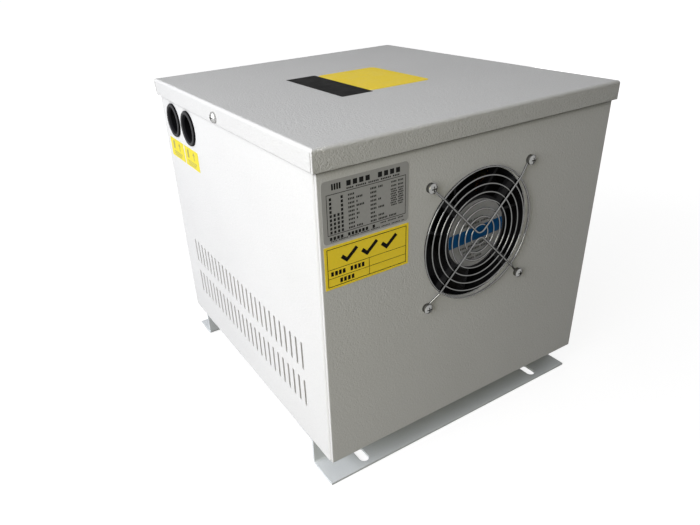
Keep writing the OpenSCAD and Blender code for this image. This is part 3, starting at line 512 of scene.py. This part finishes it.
def cable_sticker(name, grommet, overhang, width):
    """Pale yellow sticker under a grommet, with a block, an arrow and lines of print as plain bars.

    The overhang is how far it starts beyond the grommet's rear edge."""
    grommet_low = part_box(grommet)[0]
    corner = Vector((grommet_low.x - overhang * MM, left_y, cover_low.z - (TAG_DROP + TAG_H) * MM))
    tag = Sticker(name, corner, u=(1, 0, 0), v=(0, 0, 1))
    tag.base(rounded(0, 0, width, TAG_H), LEMON)

    mid, foot, block_top = width / 2, 9.0, 17.5
    tag.bar(mid - 12, foot, mid - 7, block_top, FAINT_INK)
    arrow_u, shaft, head, neck, tip = mid + 7, 1.0, 3.5, 14.0, 17.8
    half = ((shaft, foot), (shaft, neck), (head, neck))
    arrow = [(arrow_u + a, b) for a, b in half] + [(arrow_u, tip)]
    arrow += [(arrow_u - a, b) for a, b in reversed(half)]
    tag.fill(arrow, FAINT_INK)
    line_v, line_pitch, line_h = 5.6, 1.9, 0.9
    for k in range(3):
        v = line_v - line_pitch * k
        tag.bar(mid - 13 + k, v, mid + 13 - 2 * k, v + line_h, FAINT_INK)
    tag.done()


def cover_sticker():
    """Plain two-colour sticker near the middle of the cover."""
    middle = Vector((cover_middle.x, cover_middle.y, cover_high.z))
    top = Sticker("cover_sticker", middle, u=(1, 0, 0), v=(0, 1, 0))
    join = -24.0
    top.base(rounded(-50, -56, 51, join, r=1.0), INK)
    top.base(rounded(-46, join, 47, 44, r=6.0), YELLOW)
    top.done()


def hub_disc():
    """Foil disc on the fan's motor base: a tilted blue band and print as plain bars."""
    radius, band_margin = 29.8, 0.2
    band_half = 11.5  # degrees of the rim on each side of the band's axis
    tilt = math.radians(3.5)

    def turned(pts):
        c, s = math.cos(tilt), math.sin(tilt)
        return [(a * c - b * s, a * s + b * c) for a, b in pts]

    middle = Vector((fan_high.x, fan_middle.y, fan_middle.z))
    hub = Sticker("hub_foil_disc", middle, u=(0, 1, 0), v=(0, 0, 1))
    step = 5  # degrees between the points of its outline
    hub.base(arc(radius, 0, 360 - step, 360 // step - 1), FOIL)
    band = arc(radius - band_margin, -band_half, band_half, 8)
    band += arc(radius - band_margin, 180 - band_half, 180 + band_half, 8)
    hub.fill(turned(band), BLUE)
    pitch, stroke_w, stroke_h = 1.7, 1.1, 1.8
    lines = ((13.0, 11.0), (9.4, 15.0), (-10.0, 17.0), (-14.0, 14.0), (-18.4, 11.0), (-22.0, 8.0))
    for v, half in lines:
        for u in strokes(-half, half, pitch):
            hub.fill(turned(rounded(u, v - stroke_h / 2, u + stroke_w, v + stroke_h / 2)), PLATE_INK)
    hub.done()


rating_plate()
inspection_sticker()
cable_sticker("cable_sticker_rear", "grommet_rear", overhang=8.0, width=40.4)
cable_sticker("cable_sticker_front", "grommet_front", overhang=7.6, width=38.6)
cover_sticker()
hub_disc()


# Floor, light and camera

FLOOR_SIZE = 60.0
FLOOR_DROP = 0.3 * MM
FLOOR_GREY = 0.22
FLOOR_GLOW = 0.87  # near the case, so that its shadow shows
SHADOW_REACH, WHITE_REACH = 0.3, 1.3  # from the case's middle, where the glow begins and ends its rise to 1
AMBIENT = 0.07


def lit_white(tree, unseen, seen):
    """One strength for camera, glossy and transmission rays, and another for the rest."""
    path = tree.nodes.new("ShaderNodeLightPath")
    is_seen = path.outputs["Is Camera Ray"]
    for name in ("Is Glossy Ray", "Is Transmission Ray"):
        either = tree.nodes.new("ShaderNodeMath")
        either.operation = "MAXIMUM"
        tree.links.new(is_seen, either.inputs[0])
        tree.links.new(path.outputs[name], either.inputs[1])
        is_seen = either.outputs[0]
    span = tree.nodes.new("ShaderNodeMapRange")
    span.inputs["To Min"].default_value = unseen
    span.inputs["To Max"].default_value = seen
    tree.links.new(is_seen, span.inputs["Value"])
    return span.outputs["Result"]


def floor():
    """White floor that keeps the shadow near the case and runs out into the white backdrop."""
    bpy.ops.mesh.primitive_plane_add(size=FLOOR_SIZE, location=(0, 0, -FLOOR_DROP))
    plane = bpy.context.object
    plane.name = "floor"
    s = Shader("floor_white", specular=0.0)
    s.bsdf.inputs["Base Color"].default_value = (FLOOR_GREY, FLOOR_GREY, FLOOR_GREY, 1)
    s.bsdf.inputs["Roughness"].default_value = 0.9
    s.bsdf.inputs["Emission Color"].default_value = (1, 1, 1, 1)
    away = s.node("ShaderNodeVectorMath", operation="LENGTH")
    s.link(s.coords, away.inputs[0])
    glow = s.remap(away.outputs["Value"], SHADOW_REACH, WHITE_REACH, FLOOR_GLOW, 1.0)
    strength = s.math("MULTIPLY", glow, lit_white(s.tree, unseen=0.0, seen=1.0))
    s.link(strength, s.bsdf.inputs["Emission Strength"])
    plane.data.materials.append(s.mat)


def studio():
    """World that is white where it is seen and lights the case only a little."""
    world = bpy.data.worlds.new("studio")
    scene.world = world
    world.use_nodes = True
    sky = world.node_tree.nodes["Background"]
    sky.inputs["Color"].default_value = (1, 1, 1, 1)
    strength = lit_white(world.node_tree, unseen=AMBIENT, seen=1.0)
    world.node_tree.links.new(strength, sky.inputs["Strength"])


def soft_box(name, place, size, watts, rgb):
    """Broad rectangular lamp that faces the case, placed and sized in metres."""
    light = bpy.data.lights.new(name, "AREA")
    light.shape = "RECTANGLE"
    light.size, light.size_y = size
    light.energy = watts
    light.color = rgb
    lamp = bpy.data.objects.new(name, light)
    lamp.location = place
    lamp.rotation_euler = (Vector(place) - case_middle).to_track_quat("Z", "Y").to_euler()
    lamp.visible_camera = False
    scene.collection.objects.link(lamp)


def camera():
    """Camera fitted to the photograph: its lens and shift are in pixels of a picture that wide."""
    place = Vector((0.4796, -0.3273, 0.4129))
    azimuth, elevation, roll = math.radians(150.04), math.radians(-28.47), math.radians(-3.20)
    picture_w, focal_px, shift_x_px, shift_y_px = 700, 590.3, 22.97, 8.68
    level = math.cos(elevation)
    aim = Vector((level * math.cos(azimuth), level * math.sin(azimuth), math.sin(elevation)))
    cam = bpy.data.cameras.new("camera")
    cam.sensor_width = 36
    cam.lens = focal_px * cam.sensor_width / picture_w
    cam.shift_x = shift_x_px / picture_w
    cam.shift_y = shift_y_px / picture_w
    cam.clip_start = 0.01
    eye = bpy.data.objects.new("camera", cam)
    turn = aim.to_track_quat("-Z", "Y") @ Quaternion((0, 0, 1), roll)
    eye.matrix_world = Matrix.Translation(place) @ turn.to_matrix().to_4x4()
    scene.collection.objects.link(eye)
    scene.camera = eye


floor()
studio()
soft_box("window", (0.12, -1.35, 0.7), size=(1.6, 1.0), watts=31.5, rgb=(0.955, 0.957, 1.0))
soft_box("front_fill", (0.78, -0.68, 0.42), size=(0.6, 0.4), watts=1.4, rgb=(1.0, 0.93, 0.55))
soft_box("ceiling", (0.35, -0.45, 1.55), size=(1.2, 1.2), watts=5.5, rgb=(0.975, 0.98, 1.0))
soft_box("rear_fill", (-1.45, 0.85, 0.15), size=(1.6, 0.26), watts=21, rgb=(1.0, 1.0, 1.0))
camera()
scene.view_settings.view_transform = "Standard"
